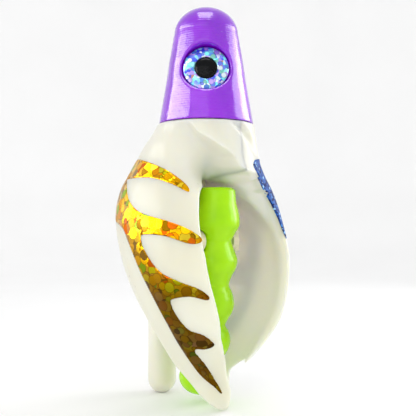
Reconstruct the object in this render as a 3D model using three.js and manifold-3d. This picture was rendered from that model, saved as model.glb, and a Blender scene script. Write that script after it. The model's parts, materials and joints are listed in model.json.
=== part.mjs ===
// Bird-shaped desk tape dispenser, millimetres, +Z up. The grip opening faces -Y, the wings are
// on -X (left) and +X (right), and the tape roll sits in the rear opening on +Y.
import * as THREE from 'three';
import { mergeVertices } from 'three/addons/utils/BufferGeometryUtils.js';
import Module from 'manifold-3d';

const wasm = await Module();
wasm.setup();

// ---- driving dimensions ----
const GAP = 0.3;                    // clearance kept between touching pieces
const WALL = 4;                     // wing wall
const NECK_TOP = 126.6;             // top of the body shells
const HEAD_BASE = 127;              // underside of the head
const WING_SEGMENTS = 44;           // facets round the wings
const NECK_BORE = 9.6;
const PLUG_FOOT = 108.8;            // underside of the plug in the neck
const SPIGOT_R = 7.7;
const SPIGOT_TOP = 141;
const EYE_HEIGHT = 147.7;            // centre of each eye
const EYE_TILT = 9.3 * Math.PI / 180;
const EYE_POCKET_R = 10.6;
const EYE_SEAT = 12.3;              // pocket floor, from the head's axis
const CHEEK_IN = 12;                // inner face of the frame cheeks
const CHEEK_OUT = 14.5;
const GRIP_PIVOT = [-4.2, 74];      // y, z of the grip's hinge
const ARM_PIVOT = [18, 58];         // y, z of the cutter arm's hinge
const HUB = [27, 88];               // y, z of the roll's axle
const TAPE_WIDTH = 19;
const TAPE_HALF = TAPE_WIDTH / 2;
const ROLL_R = 19;
const LEG_Y = 30.5;
const LEG_R = 6.8;
const LEG_TOP = 43.7;
const PIN_R = 1.5;
const PIN_HALF = 15.2;              // half length of the two hinge pins
const PIN_PLAY = 0.12;              // running clearance round a pin
const FAR = 60;                     // half size of cutting tools that must reach past the body
const BOSS_R = 3.6;                 // screw boss inside a wing
const SHELL_SCREW_BORE = 1.4;
const ROLL_PLAY = 1.4;              // space kept round the roll
const ROLL_SIDE_PLAY = 1.3;         // space kept beside the roll
const REAR_OPENING_Z = 31;          // sill of the rear opening
const INLAY_THICKNESS = 0.5;
const SHELF_SCREW_X = 8.5;
const SHELF_SCREW_Y = 34;
const BLADE_SCREW_X = 3.5;
const BLADE_SCREW_Z = 54.5;
const BLADE_Y = 40.3;               // front face of the blade
const BLADE_HALF = 9.6;
const BLADE_THICKNESS = 0.6;
const TEETH = 12;
const COIL_R = 3.2;
const COIL_TURNS = 3.5;
const STENCIL_DISTANCE = 300;       // apex of the tapered stencil that cuts the inlays
const STENCIL_HEIGHT = 83;

// Sections of the body: height, radius, and how far the section's centre lies towards the rear.
const SECTIONS = [
  [0, 14.5, -1], [5, 16, -0.8], [15, 18.5, -0.6], [26, 23, -3.3], [38, 29.8, -4.5],
  [45, 32.7, -4.2], [56, 36.3, -2.1], [67, 38.4, 0.2], [78, 38.8, 3], [88, 37.8, 4.8],
  [97, 35.2, 5.7], [104, 31.6, 5.8], [110, 28.6, 5.4], [117, 26, 3.6], [122, 23.8, 1.6], [127, 22.2, 0],
];
// Half width of the front and rear openings at each height.
const OPENING = [
  [-2, 0.8], [8.9, 0.9], [16.9, 5.1], [31, 13.9], [36.6, 17.3], [49.5, 22], [59.3, 24.8], [68.9, 26],
  [80.9, 24.8], [92, 21.4], [96, 19], [99.5, 12],
];
// Fold that winds down the neck into each opening: height, angle, left and right half width, depth.
const FOLD = [
  [84, 0, 37, 37, 32], [90, 0, 38, 38, 32], [94, -1.5, 42, 41, 31], [96.7, -4, 48, 45, 29],
  [100, -14, 46, 36, 25], [105.5, -28, 44, 25, 17], [111.3, -34, 42, 23, 10.5], [117, -46, 38, 15, 6],
  [121, -59, 32, 10, 3.2], [125, -68, 28, 7, 1], [127, -74, 24, 6, 0],
];
// How far the rims beside each opening roll inwards: height, depth to the right, and to the left.
const RIM_ROLL = [
  [68, 0, 0], [78, 2, 1.6], [88, 5.5, 3.6], [97, 7, 4.6], [101, 5, 3.6], [106, 1.4, 0.8], [111, 0, 0],
];
const RIM_ROLL_ENDS = [[28, 53], [40, 74]];   // degrees, right and left: where it is full, and gone
// Rear edge of each wing below the rear opening: y, z.
const REAR_EDGE = {
  left: [[-15.2, -2], [-13.8, 0], [-12, 3], [-8.9, 8], [-5.3, 14], [3.4, 26], [8.5, 38], [14, 45], [24, 52]],
  right: [[-4, -2], [-3, 0], [-1, 3], [3, 8], [7, 14], [12, 26], [16.5, 38], [20.5, 45], [28, 52]],
};
// Chamfer on the outer corner of the right wing's toe, seen along the diagonal: across, height.
const TOE_CHAMFER = [
  [10.6, -2], [40, -2], [40, 43], [30, 35], [25.4, 28],
  [21, 22.7], [16, 17.6], [12.4, 14], [11.3, 12], [10.9, 5],
];
// Part of the right inlay that wraps round the wing towards the front: across the diagonal, height.
const INLAY_WRAP = [[37.3, 74], [45, 90], [45, 111], [23, 111], [20.8, 107], [24.9, 99.4], [30.4, 87]];
// Wall left between the outer surface and the cavity: height, thickness.
const CAVITY_WALL = [
  [0, 5.5], [8, 4.4], [20, WALL], [64, WALL], [76, 5.5], [84, 8.5], [91, 13], [97, 20], [101, 28],
];

// Comb-shaped inlay, as seen square to its wing: sideways, height.
const COMB = [
  [-46, 116], [-33.5, 111.6], [-28.9, 110.8], [-18.8, 106.9], [-10.5, 101.2], [-7.6, 97.6], [-8.6, 96.3],
  [-15.6, 99.8], [-25.6, 102.8], [-35, 102.2], [-36.3, 100.6], [-35.2, 92.5], [-29.8, 86.8],
  [-18.8, 83.4], [-8.7, 79.7], [-2, 75.2], [-3, 72.8], [-8.2, 72.6], [-18.8, 76], [-27.5, 76.7],
  [-29.8, 75.4], [-27.5, 68.7], [-21.1, 60], [-11.9, 55.2], [-3.7, 52.2], [1.4, 48.6], [0.4, 46.7],
  [-7.3, 48.3], [-14.6, 47.3], [-16, 45.6], [-13.3, 39.8], [-7.8, 33.4], [-1.4, 31.1], [3.6, 27.3],
  [3, 25.4], [-0.5, 24.3], [-5, 23.8], [0.5, 16.5], [7.1, 5.6], [6.6, 4.4], [3.7, 7.3], [-3.2, 13.3],
  [-11.9, 25.6], [-17.9, 36.2], [-24, 47.6], [-30.2, 60], [-36, 74.2], [-38.3, 79.7], [-46, 90],
];

// ---- helpers ----
const rad = (degrees) => degrees * Math.PI / 180;

// Smooth curve through a table's rows: column of the table at height z.
function curveAt(table, z, column) {
  const last = table.length - 1;
  if (z <= table[0][0]) return table[0][column];
  if (z >= table[last][0]) return table[last][column];
  const i = table.findIndex((row) => row[0] > z) - 1;
  const slope = (k) => {
    const a = table[Math.max(k - 1, 0)];
    const b = table[Math.min(k + 1, last)];
    return (b[column] - a[column]) / (b[0] - a[0]);
  };
  const [low, high] = [table[i], table[i + 1]];
  const span = high[0] - low[0];
  const t = (z - low[0]) / span;
  const h = t * t * (3 - 2 * t);
  const start = low[column] * (1 - h) + high[column] * h;
  return start + span * (slope(i) * t * (1 - t) ** 2 - slope(i + 1) * t * t * (1 - t));
}

// Smooth step from 0 to 1 as t goes from 0 to 1.
function ramp(t) {
  const held = Math.min(Math.max(t, 0), 1);
  return held * held * (3 - 2 * held);
}

// Angle brought between -180 and 180 degrees.
const wrapped = (angle) => ((angle + 180) % 360 + 360) % 360 - 180;

// Depth of the fold at an angle (degrees, 0 at the front) and height; both openings have one.
function foldDepth(angle, z) {
  if (z < FOLD[0][0]) return 0;
  const centre = curveAt(FOLD, z, 1);
  let depth = 0;
  for (const turn of [0, 180]) {
    const off = wrapped(angle - centre - turn);
    const share = Math.min(Math.abs(off) / curveAt(FOLD, z, off < 0 ? 2 : 3), 1);
    const steep = Math.min(Math.max(6 - 0.3 * (z - 98), 2.5), 6);
    depth += curveAt(FOLD, z, 4) * (off < 0 ? Math.cos(share * Math.PI / 2) ** 2 : 1 - share ** steep);
  }
  return depth;
}

// How far the rims beside each opening roll inwards at an angle and height.
function rimRoll(angle, z) {
  const right = (angle + 360) % 180;
  let roll = 0;
  for (const [k, off] of [right, 180 - right].entries()) {
    const [full, gone] = RIM_ROLL_ENDS[k];
    roll += curveAt(RIM_ROLL, z, k + 1) * ramp((gone - off) / (gone - full)) * ramp(off / 14 - 1);
  }
  return roll;
}

const outerRadius = (angle, z) => curveAt(SECTIONS, z, 1) - foldDepth(angle, z) - rimRoll(angle, z);

function solidOf(geometry) {
  const bare = geometry.clone();
  bare.deleteAttribute('normal');
  bare.deleteAttribute('uv');
  const merged = mergeVertices(bare, 1e-4);
  return new wasm.Manifold(new wasm.Mesh({
    numProp: 3,
    vertProperties: new Float32Array(merged.attributes.position.array),
    triVerts: new Uint32Array(merged.index.array),
  }));
}

function geometryOf(solid) {
  const mesh = solid.getMesh();
  const geometry = new THREE.BufferGeometry();
  geometry.setAttribute('position', new THREE.BufferAttribute(mesh.vertProperties, 3));
  geometry.setIndex(new THREE.BufferAttribute(mesh.triVerts, 1));
  geometry.computeVertexNormals();
  return geometry;
}

// Solid stacked from rings: radius(angle, z) at each height, closed by flat fans.
function ringStack(radius, heights, segments) {
  const positions = [];
  const faces = [];
  for (const z of heights) {
    const shift = curveAt(SECTIONS, z, 2);
    for (let k = 0; k < segments; k++) {
      const angle = 360 * (k + 0.5) / segments - 180;
      const r = radius(angle, z);
      positions.push(r * Math.sin(rad(angle)), shift - r * Math.cos(rad(angle)), z);
    }
  }
  for (let row = 0; row < heights.length - 1; row++) {
    for (let k = 0; k < segments; k++) {
      const a = row * segments + k;
      const b = row * segments + (k + 1) % segments;
      faces.push(a, b, b + segments, a, b + segments, a + segments);
    }
  }
  for (const [row, flip] of [[0, true], [heights.length - 1, false]]) {
    const centre = positions.length / 3;
    positions.push(0, curveAt(SECTIONS, heights[row], 2), heights[row]);
    for (let k = 0; k < segments; k++) {
      const a = row * segments + k;
      const b = row * segments + (k + 1) % segments;
      faces.push(centre, ...(flip ? [b, a] : [a, b]));
    }
  }
  const geometry = new THREE.BufferGeometry();
  geometry.setAttribute('position', new THREE.BufferAttribute(new Float32Array(positions), 3));
  geometry.setIndex(faces);
  return geometry;
}

// Cylinder along X, from x0 to x1, centred on y, z.
function rodX(r, x0, x1, y, z, segments = 20) {
  const geometry = new THREE.CylinderGeometry(r, r, x1 - x0, segments);
  return geometry.rotateZ(Math.PI / 2).translate((x0 + x1) / 2, y, z);
}

// Cylinder along Z.
function rodZ(r, z0, z1, x, y, segments = 24) {
  const geometry = new THREE.CylinderGeometry(r, r, z1 - z0, segments);
  return geometry.rotateX(Math.PI / 2).translate(x, y, (z0 + z1) / 2);
}

function box(x0, x1, y0, y1, z0, z1) {
  const geometry = new THREE.BoxGeometry(x1 - x0, y1 - y0, z1 - z0);
  return geometry.translate((x0 + x1) / 2, (y0 + y1) / 2, (z0 + z1) / 2);
}

// Ring or disc turned about Z from [radius, height] points.
function turned(points, segments = 32) {
  const profile = points.map(([r, z]) => new THREE.Vector2(r, z));
  return new THREE.LatheGeometry(profile, segments).rotateX(Math.PI / 2);
}

// Outline in Y-Z, extruded along X from x0 to x1.
function plateX(outline, x0, x1) {
  const shape = new THREE.Shape(outline.map(([y, z]) => new THREE.Vector2(y, z)));
  const geometry = new THREE.ExtrudeGeometry(shape, { depth: x1 - x0, bevelEnabled: false });
  return geometry.applyMatrix4(new THREE.Matrix4().set(0, 0, 1, x0, 1, 0, 0, 0, 0, 1, 0, 0, 0, 0, 0, 1));
}

// Screw along +X with its head at the inner end: head, then shank.
function screwProfile(headR, headH, shankR, length) {
  return [[0, 0], [headR * 0.8, 0], [headR, headH * 0.4], [headR, headH], [shankR, headH],
    [shankR, headH + length - 0.6], [shankR * 0.5, headH + length], [0, headH + length]];
}

const join = (...parts) => parts.map(solidOf).reduce((a, b) => a.add(b));
const cut = (base, ...tools) => tools.reduce((a, tool) => a.subtract(solidOf(tool)), base);

// ---- materials ----
const plastic = (color, roughness) => new THREE.MeshStandardMaterial({ color, roughness, metalness: 0 });
const metal = (color, roughness) => new THREE.MeshStandardMaterial({ color, roughness, metalness: 1 });
const MATERIALS = {
  ivory: plastic(0xefeee0, 0.35),
  violet: plastic(0x9a36de, 0.22),
  lime: plastic(0x96d200, 0.25),
  goldFoil: metal(0xe6a707, 0.3),
  blueGlitter: metal(0x1c59a2, 0.4),
  eyeFoil: metal(0x9cc4d8, 0.3),
  black: plastic(0x11151a, 0.1),
  frame: plastic(0xd8d4c0, 0.5),
  steel: metal(0xb8bcc0, 0.3),
  card: plastic(0xb08a5c, 0.9),
  tape: new THREE.MeshStandardMaterial({
    color: 0xe8dfae, roughness: 0.2, transparent: true, opacity: 0.8,
  }),
};

const model = new THREE.Group();
function addPiece(name, geometry, material) {
  const mesh = new THREE.Mesh(geometry, material);
  mesh.name = name;
  model.add(mesh);
  return mesh;
}

// ---- body shells ----
const BODY_LEVELS = [0, 6, 13, 20, 28, 36, 44, 52, 60, 68, 76, 84, 91, 96, 100, 104, 108, 112, 116, 121,
  NECK_TOP];
const CAVITY_LEVELS = [-2, 8, 18, 28, 38, 48, 58, 68, 76, 84, 90, 95, 98, 100.5];
const SHELL_SCREWS = { upper: [14, 86], lower: [13, 62] };   // y, z of each

function cavityRadius(angle, z) {
  return curveAt(SECTIONS, z, 1) - Math.max(curveAt(CAVITY_WALL, z, 1), WALL + rimRoll(angle, z));
}

function openingTool(yFrom, yTo, lowest) {
  const rows = OPENING.filter(([z]) => z >= lowest);
  const side = rows.map(([z, x]) => new THREE.Vector2(x, z));
  const shape = new THREE.Shape([...side, ...side.map((p) => new THREE.Vector2(-p.x, p.y)).reverse()]);
  const geometry = new THREE.ExtrudeGeometry(shape, { depth: yTo - yFrom, bevelEnabled: false });
  return geometry.rotateX(Math.PI / 2).translate(0, yTo, 0);
}

const frontOpening = openingTool(-FAR, -2, -2);
const rearOpening = openingTool(2, FAR, REAR_OPENING_Z);
const rollSide = TAPE_HALF + ROLL_SIDE_PLAY;
const outer = solidOf(ringStack(outerRadius, BODY_LEVELS, WING_SEGMENTS));
const cavity = solidOf(ringStack(cavityRadius, CAVITY_LEVELS, 32));
const shell = outer
  .subtract(cavity)
  .subtract(solidOf(frontOpening))
  .subtract(solidOf(rearOpening))
  .subtract(solidOf(rodZ(NECK_BORE, PLUG_FOOT - GAP, 130, 0, 0, 28)))
  .subtract(solidOf(box(-4, 4, 3.6, 8, 88, PLUG_FOOT + 2)))
  .subtract(solidOf(rodX(ROLL_R + ROLL_PLAY, -rollSide, rollSide, ...HUB, 40)))
  .subtract(solidOf(box(-rollSide, rollSide, HUB[0], FAR, HUB[1], HUB[1] + ROLL_R + ROLL_PLAY)));

// Outline seen along the diagonal, extruded from behind the axis towards the front left.
function diagonalPrism(outline, from, to) {
  const shape = new THREE.Shape(outline.map(([across, z]) => new THREE.Vector2(across, z)));
  const geometry = new THREE.ExtrudeGeometry(shape, { depth: to - from, bevelEnabled: false });
  return solidOf(geometry.translate(0, 0, from).rotateX(Math.PI / 2).rotateZ(-Math.PI / 4));
}
const toeChamfer = diagonalPrism(TOE_CHAMFER, -30, 30);

const tailCut = (side) => (side < 0
  ? plateX([...REAR_EDGE.left, [FAR, 50], [FAR, -2]], -FAR, 0)
  : plateX([...REAR_EDGE.right, [FAR, 50], [FAR, -2]], 0, FAR));

for (const [name, side] of [['left_body_shell', -1], ['right_body_shell', 1]]) {
  const across = side < 0 ? [-FAR, -GAP / 2] : [GAP / 2, FAR];
  const keep = box(...across, -FAR, FAR, -5, 140);
  let wing = shell.intersect(solidOf(keep)).subtract(solidOf(tailCut(side)));
  if (side > 0) wing = wing.subtract(toeChamfer);
  for (const [y, z] of Object.values(SHELL_SCREWS)) {
    const reach = Math.sqrt(cavityRadius(0, z) ** 2 - (y - curveAt(SECTIONS, z, 2)) ** 2) + 1.5;
    const ends = side < 0 ? [-reach, -CHEEK_OUT - GAP] : [CHEEK_OUT + GAP, reach];
    const bore = side < 0 ? [-24, -CHEEK_OUT] : [CHEEK_OUT, 24];
    wing = wing.add(solidOf(rodX(BOSS_R, ...ends, y, z, 16)));
    wing = cut(wing, rodX(SHELL_SCREW_BORE, ...bore, y, z, 12));
  }
  addPiece(name, geometryOf(wing), MATERIALS.ivory);
}

// ---- wing inlays: the comb stencil cuts a thin layer that lies just over the wing ----
function stencil(turned180) {
  const shape = new THREE.Shape(COMB.map(([x, z]) => new THREE.Vector2(x, z)));
  const geometry = new THREE.ExtrudeGeometry(shape, { depth: 44, bevelEnabled: false, steps: 1 });
  const place = geometry.attributes.position;
  for (let k = 0; k < place.count; k++) {
    const near = place.getZ(k) + 1;
    const scale = (STENCIL_DISTANCE - near) / STENCIL_DISTANCE;
    const across = place.getX(k) * scale;
    const up = STENCIL_HEIGHT + (place.getY(k) - STENCIL_HEIGHT) * scale;
    const x = (across - near) * Math.SQRT1_2;
    const y = -(across + near) * Math.SQRT1_2;
    const centre = curveAt(SECTIONS, up, 2);
    place.setXYZ(k, turned180 ? -x : x, turned180 ? 2 * centre - y : y, up);
  }
  return solidOf(geometry);
}
const layerLevels = BODY_LEVELS.filter((z) => z <= 116);
const coreLevels = [-1, ...layerLevels, 118];
const coatRadius = (angle, z) => outerRadius(angle, z) + GAP + INLAY_THICKNESS;
const coreRadius = (angle, z) => outerRadius(angle, z) + GAP;
const layer = solidOf(ringStack(coatRadius, layerLevels, WING_SEGMENTS))
  .subtract(solidOf(ringStack(coreRadius, coreLevels, WING_SEGMENTS)));
const trim = join(frontOpening, rearOpening, tailCut(-1), tailCut(1));
for (const [name, turned180, material] of [
  ['left_wing_inlay', false, MATERIALS.goldFoil], ['right_wing_inlay', true, MATERIALS.blueGlitter],
]) {
  let outline = stencil(turned180);
  if (turned180) outline = outline.add(diagonalPrism(INLAY_WRAP, -8, 30));
  const inlay = layer.intersect(outline).subtract(trim);
  const largest = inlay.decompose().sort((a, b) => b.volume() - a.volume())[0];
  addPiece(name, geometryOf(largest), material);
}

// ---- spine frame: cheeks, neck plug and spigot, tape shelf bar and tail block ----
const CHEEK = [
  [-7, 69.4], [-6.4, 68.8], [2, 68.8], [8, 60], [16, 44], [26, 44], [26, 53], [39, 59], [39, 68], [33, 74],
  [33, 94], [4, 94], [4, 83], [-2, 79.2], [-6.4, 79.2], [-7, 78.6],
];
function spineFrame() {
  let frame = join(
    plateX(CHEEK, -CHEEK_OUT, -CHEEK_IN),
    plateX(CHEEK, CHEEK_IN, CHEEK_OUT),
    box(-CHEEK_OUT, CHEEK_OUT, 4, 7.6, 90.5, 94),
    box(-3.6, 3.6, 4, 7.6, 90.5, PLUG_FOOT + 1),
    rodZ(NECK_BORE - GAP, PLUG_FOOT, NECK_TOP + 0.1, 0, 0),
    rodZ(SPIGOT_R, 125, SPIGOT_TOP, 0, 0),
    box(-CHEEK_OUT, CHEEK_OUT, 31, 37, 60, 63.7),
    box(-CHEEK_OUT, CHEEK_OUT, 20, 26, 44, 49),
    box(-7.5, 7.5, 20, LEG_Y + 7, 44, 49),
  );
  for (const side of [-1, 1]) {
    const [x0, x1] = side < 0 ? [-16, -11] : [11, 16];
    const boss = side < 0 ? [-12.5, -9] : [9, 12.5];
    frame = frame.add(solidOf(rodX(5, ...boss, ...GRIP_PIVOT)));
    frame = cut(
      frame,
      rodX(PIN_R + PIN_PLAY, ...(side < 0 ? [-16, -8] : [8, 16]), ...GRIP_PIVOT, 16),
      rodX(PIN_R + PIN_PLAY, x0, x1, ...ARM_PIVOT, 16),
      rodX(1.5, x0, x1, ...SHELL_SCREWS.upper, 12),
      rodX(1.5, x0, x1, ...SHELL_SCREWS.lower, 12),
      box(x0, x1, HUB[0] - 3.2, HUB[0] + 3.2, HUB[1] - 3.2, 96),
    );
  }
  return cut(
    frame,
    rodZ(1.9, 40, 52, 0, LEG_Y, 12),
    rodZ(1.5, 130, SPIGOT_TOP + 1, 0, 0, 12),
    rodZ(1.3, 59, 64, -SHELF_SCREW_X, SHELF_SCREW_Y, 10),
    rodZ(1.3, 59, 64, SHELF_SCREW_X, SHELF_SCREW_Y, 10),
  );
}
addPiece('spine_frame', geometryOf(spineFrame()), MATERIALS.frame);

for (const [side, sign] of [['left', -1], ['right', 1]]) {
  for (const [level, [y, z]] of Object.entries(SHELL_SCREWS)) {
    const screw = turned(screwProfile(2.6, 1.9, 1.1, 11), 14).rotateY(sign * Math.PI / 2);
    addPiece(`${side}_shell_screw_${level}`, screw.translate(sign * 9.8, y, z), MATERIALS.steel);
  }
}

// ---- tail leg: a rod with a round end and a small flat to stand on ----
const legArc = [];
for (let k = 1; k <= 6; k++) {
  const a = rad(20 + 70 * k / 6);
  legArc.push([LEG_R * Math.sin(a), LEG_R * (Math.cos(rad(20)) - Math.cos(a))]);
}
const leg = cut(
  solidOf(turned([[0, 0], [LEG_R * Math.sin(rad(20)), 0], ...legArc, [LEG_R, LEG_TOP], [0, LEG_TOP]], 28)
    .translate(0, LEG_Y, 0)),
  rodZ(1.35, 30, 45, 0, LEG_Y, 12),
);
addPiece('tail_leg', geometryOf(leg), MATERIALS.ivory);
addPiece('tail_leg_screw', turned(screwProfile(3.2, 2.2, 1.1, 16), 16).rotateX(Math.PI)
  .translate(0, LEG_Y, 51.5), MATERIALS.steel);

// ---- finger grip: five lobes on a slightly leaning line, hinged at its first waist ----
const GRIP = [     // height, radius
  [3.5, 0], [3.6, 2.5], [5.5, 6.6], [9, 9.6], [13, 10.4], [16.5, 9.2], [18.5, 8.2], [21, 8.8], [25, 10.4],
  [29, 10.8], [33, 9.6], [35.5, 8], [38, 8.8], [42, 10.9], [46, 11.4], [50.5, 10.2], [54, 8.6],
  [57.5, 9.4], [61.5, 11.2], [65.5, 11.6], [70.5, 9.6], [74, 8.4], [77, 9.6], [81, 11.5], [86, 10.9],
  [91, 9.3], [94.5, 8.7], [96.6, 8.3], [97.6, 7.6], [98, 6.6], [98, 0],
];
const GRIP_LEAN = [[3, 3.4], [13, 2.7], [29, -0.4], [46, -1.9], [65, -3.6], [81, -5.1], [98, -7]];
function gripSolid() {
  const geometry = turned(GRIP.map(([z, r]) => [r, z]), 20);
  const place = geometry.attributes.position;
  for (let k = 0; k < place.count; k++) {
    place.setY(k, place.getY(k) + curveAt(GRIP_LEAN, place.getZ(k), 1));
  }
  return cut(
    solidOf(geometry),
    rodX(PIN_R + 0.15, -20, 20, ...GRIP_PIVOT, 16),
    rodX(5.6, -20, -8.4, ...GRIP_PIVOT),
    rodX(5.6, 8.4, 20, ...GRIP_PIVOT),
    box(-20, -11.7, -12, 8, 60, 84),
    box(11.7, 20, -12, 8, 60, 84),
  );
}
addPiece('finger_grip', geometryOf(gripSolid()), MATERIALS.lime);
addPiece('grip_pivot_pin', rodX(PIN_R, -PIN_HALF, PIN_HALF, ...GRIP_PIVOT, 16), MATERIALS.steel);

// ---- cutter: bell-crank arm, pin, serrated blade and its screws, return spring ----
const ARM = [
  [10.2, 44.5], [11.6, 43.6], [13, 44.6], [15.6, 53], [21, 54.2], [28, 52.2], [40, 52.2], [40, 57],
  [38.2, 57], [36.5, 55], [23, 58], [20.6, 61.2], [18, 62], [15.4, 61.2], [14, 58.8], [10.6, 49],
];
addPiece('cutter_arm', geometryOf(cut(
  solidOf(plateX(ARM, -6, 6)),
  rodX(PIN_R + PIN_PLAY, -7, 7, ...ARM_PIVOT, 16),
  new THREE.CylinderGeometry(1.2, 1.2, 8, 12).translate(-BLADE_SCREW_X, 38, BLADE_SCREW_Z),
  new THREE.CylinderGeometry(1.2, 1.2, 8, 12).translate(BLADE_SCREW_X, 38, BLADE_SCREW_Z),
)), MATERIALS.lime);
addPiece('cutter_pivot_pin', rodX(PIN_R, -PIN_HALF, PIN_HALF, ...ARM_PIVOT, 16), MATERIALS.steel);

function bladeGeometry() {
  const outline = [new THREE.Vector2(-BLADE_HALF, 52), new THREE.Vector2(BLADE_HALF, 52)];
  for (let k = 0; k <= TEETH * 2; k++) {
    outline.push(new THREE.Vector2(BLADE_HALF * (1 - k / TEETH), k % 2 ? 62.8 : 61.4));
  }
  const shape = new THREE.Shape(outline);
  for (const x of [-BLADE_SCREW_X, BLADE_SCREW_X]) {
    const hole = new THREE.Path();
    hole.absarc(x, BLADE_SCREW_Z, 1.4, 0, Math.PI * 2, true);
    shape.holes.push(hole);
  }
  const geometry = new THREE.ExtrudeGeometry(shape, {
    depth: BLADE_THICKNESS, bevelEnabled: false, curveSegments: 6,
  });
  return geometry.rotateX(Math.PI / 2).translate(0, BLADE_Y + BLADE_THICKNESS, 0);
}
addPiece('cutter_blade', bladeGeometry(), MATERIALS.steel);
for (const [name, x] of [['blade_screw_left', -BLADE_SCREW_X], ['blade_screw_right', BLADE_SCREW_X]]) {
  const screw = turned(screwProfile(2.1, 1.2, 0.9, 5), 12).rotateX(Math.PI / 2);
  const y = BLADE_Y + BLADE_THICKNESS + GAP + 1.2;
  addPiece(name, screw.translate(x, y, BLADE_SCREW_Z), MATERIALS.steel);
}

// Torsion spring wound round the cutter pin, beside the arm.
class Coil extends THREE.Curve {
  getPoint(t, target = new THREE.Vector3()) {
    const turn = t * COIL_TURNS * Math.PI * 2;
    return target.set(
      6.9 + 4.2 * t,
      ARM_PIVOT[0] + COIL_R * Math.cos(turn),
      ARM_PIVOT[1] + COIL_R * Math.sin(turn),
    );
  }
}
const wire = new THREE.Shape();
wire.absarc(0, 0, 0.4, 0, Math.PI * 2, false);
addPiece('cutter_return_spring', new THREE.ExtrudeGeometry(wire, {
  extrudePath: new Coil(), steps: 40, curveSegments: 3, bevelEnabled: false,
}), MATERIALS.steel);

// ---- tape roll: axle, hub, card core, wound tape, leader and the shelf it rests on ----
// Turns a ring about Z so that it lies about X at the roll's axle.
const alongX = (geometry) => geometry.rotateY(Math.PI / 2).translate(0, ...HUB);
const HUB_AXLE_PROFILE = [[0, -14.4], [2.9, -14.4], [2.9, 14.4], [0, 14.4]];
addPiece('hub_axle', alongX(turned(HUB_AXLE_PROFILE, 20)), MATERIALS.steel);
addPiece('tape_hub', alongX(turned([
  [3.05, -TAPE_HALF], [5, -TAPE_HALF], [5, -2], [11, -2], [11, -TAPE_HALF], [12.7, -TAPE_HALF],
  [12.7, TAPE_HALF], [11, TAPE_HALF], [11, 2], [5, 2], [5, TAPE_HALF],
  [3.05, TAPE_HALF], [3.05, -TAPE_HALF],
], 28)), MATERIALS.frame);
const ring = (inner, outerR, w) => [[inner, -w], [outerR, -w], [outerR, w], [inner, w], [inner, -w]];
addPiece('tape_core', alongX(turned(ring(12.95, 14.4, TAPE_HALF), 32)), MATERIALS.card);
addPiece('tape_roll', alongX(turned(ring(14.65, ROLL_R, TAPE_HALF), 40)), MATERIALS.tape);
const LEADER = [
  [29.6, 68.35], [33, 67], [36, 65.65], [38.1, 65.65],
  [38.1, 66.05], [36.2, 66.05], [33.2, 67.4], [29.7, 68.75],
];
addPiece('tape_leader', plateX(LEADER, -TAPE_HALF, TAPE_HALF), MATERIALS.tape);
addPiece('tape_shelf', geometryOf(cut(
  solidOf(box(-11, 11, 31, 37.8, 64, 65.3)),
  rodZ(1.3, 63, 66, -SHELF_SCREW_X, SHELF_SCREW_Y, 10),
  rodZ(1.3, 63, 66, SHELF_SCREW_X, SHELF_SCREW_Y, 10),
)), MATERIALS.steel);
for (const [name, x] of [['shelf_screw_left', -SHELF_SCREW_X], ['shelf_screw_right', SHELF_SCREW_X]]) {
  addPiece(name, rodZ(1, 60.4, 65.2, x, SHELF_SCREW_Y, 10), MATERIALS.steel);
}

// ---- head: hollow violet shell with two eye pockets, turning on the neck spigot ----
const HEAD_OUTER = [
  [21.5, HEAD_BASE], [21.4, 128.4], [19.7, 138.3], [18.3, 146.6], [17.1, 154.8], [15.7, 163], [14.7, 168.5],
  [13.9, 171.4], [12.3, 174.4], [9.8, 177.2], [6.2, 179.4], [3, 180.5], [0, 180.8],
];
const HEAD_INNER = [
  [0, 177], [5, 176], [9, 173], [11.8, 168], [13.4, 160], [14.6, 152],
  [16, 144], [17.6, 134.7], [18.6, 129.5], [18.9, HEAD_BASE], [21.5, HEAD_BASE],
];
// Frame of an eye: its own +Z points out of the head, turned to the given side.
function toEye(geometry, turn) {
  const place = new THREE.Matrix4().makeTranslation(0, 0, EYE_HEIGHT)
    .multiply(new THREE.Matrix4().makeRotationZ(rad(turn)))
    .multiply(new THREE.Matrix4().makeRotationY(Math.PI / 2 - EYE_TILT));
  return geometry.applyMatrix4(place);
}
const EYES = [['left', 225], ['right', 45]];
const headBlank = solidOf(turned([[0, HEAD_BASE], ...HEAD_OUTER], 32));
let head = solidOf(turned([...HEAD_OUTER, ...HEAD_INNER], 32));
for (const [, turn] of EYES) {
  const seat = solidOf(toEye(rodZ(EYE_POCKET_R + 2, 9, 24, 0, 0, 24), turn)).intersect(headBlank);
  head = cut(head.add(seat), toEye(rodZ(EYE_POCKET_R, EYE_SEAT, 30, 0, 0, 28), turn));
}
head = cut(head, rodZ(8.2, 120, 172, 0, 0, 28));
addPiece('head_shell', geometryOf(head), MATERIALS.violet);
addPiece('head_bush', geometryOf(cut(
  solidOf(turned([[0, 127.4], [18.3, 127.4], [17.4, 132.2], [0, 132.2]], 32)),
  rodZ(SPIGOT_R + 0.15, 120, 140, 0, 0),
)), MATERIALS.frame);
addPiece('head_washer', turned([
  [1.6, SPIGOT_TOP + GAP], [9.5, SPIGOT_TOP + GAP], [9.5, SPIGOT_TOP + 1.3], [1.6, SPIGOT_TOP + 1.3],
  [1.6, SPIGOT_TOP + GAP],
], 24), MATERIALS.steel);
addPiece('head_screw', turned(screwProfile(3.4, 2.2, 1.3, 10), 16).rotateX(Math.PI)
  .translate(0, 0, SPIGOT_TOP + 3.9), MATERIALS.steel);
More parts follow.
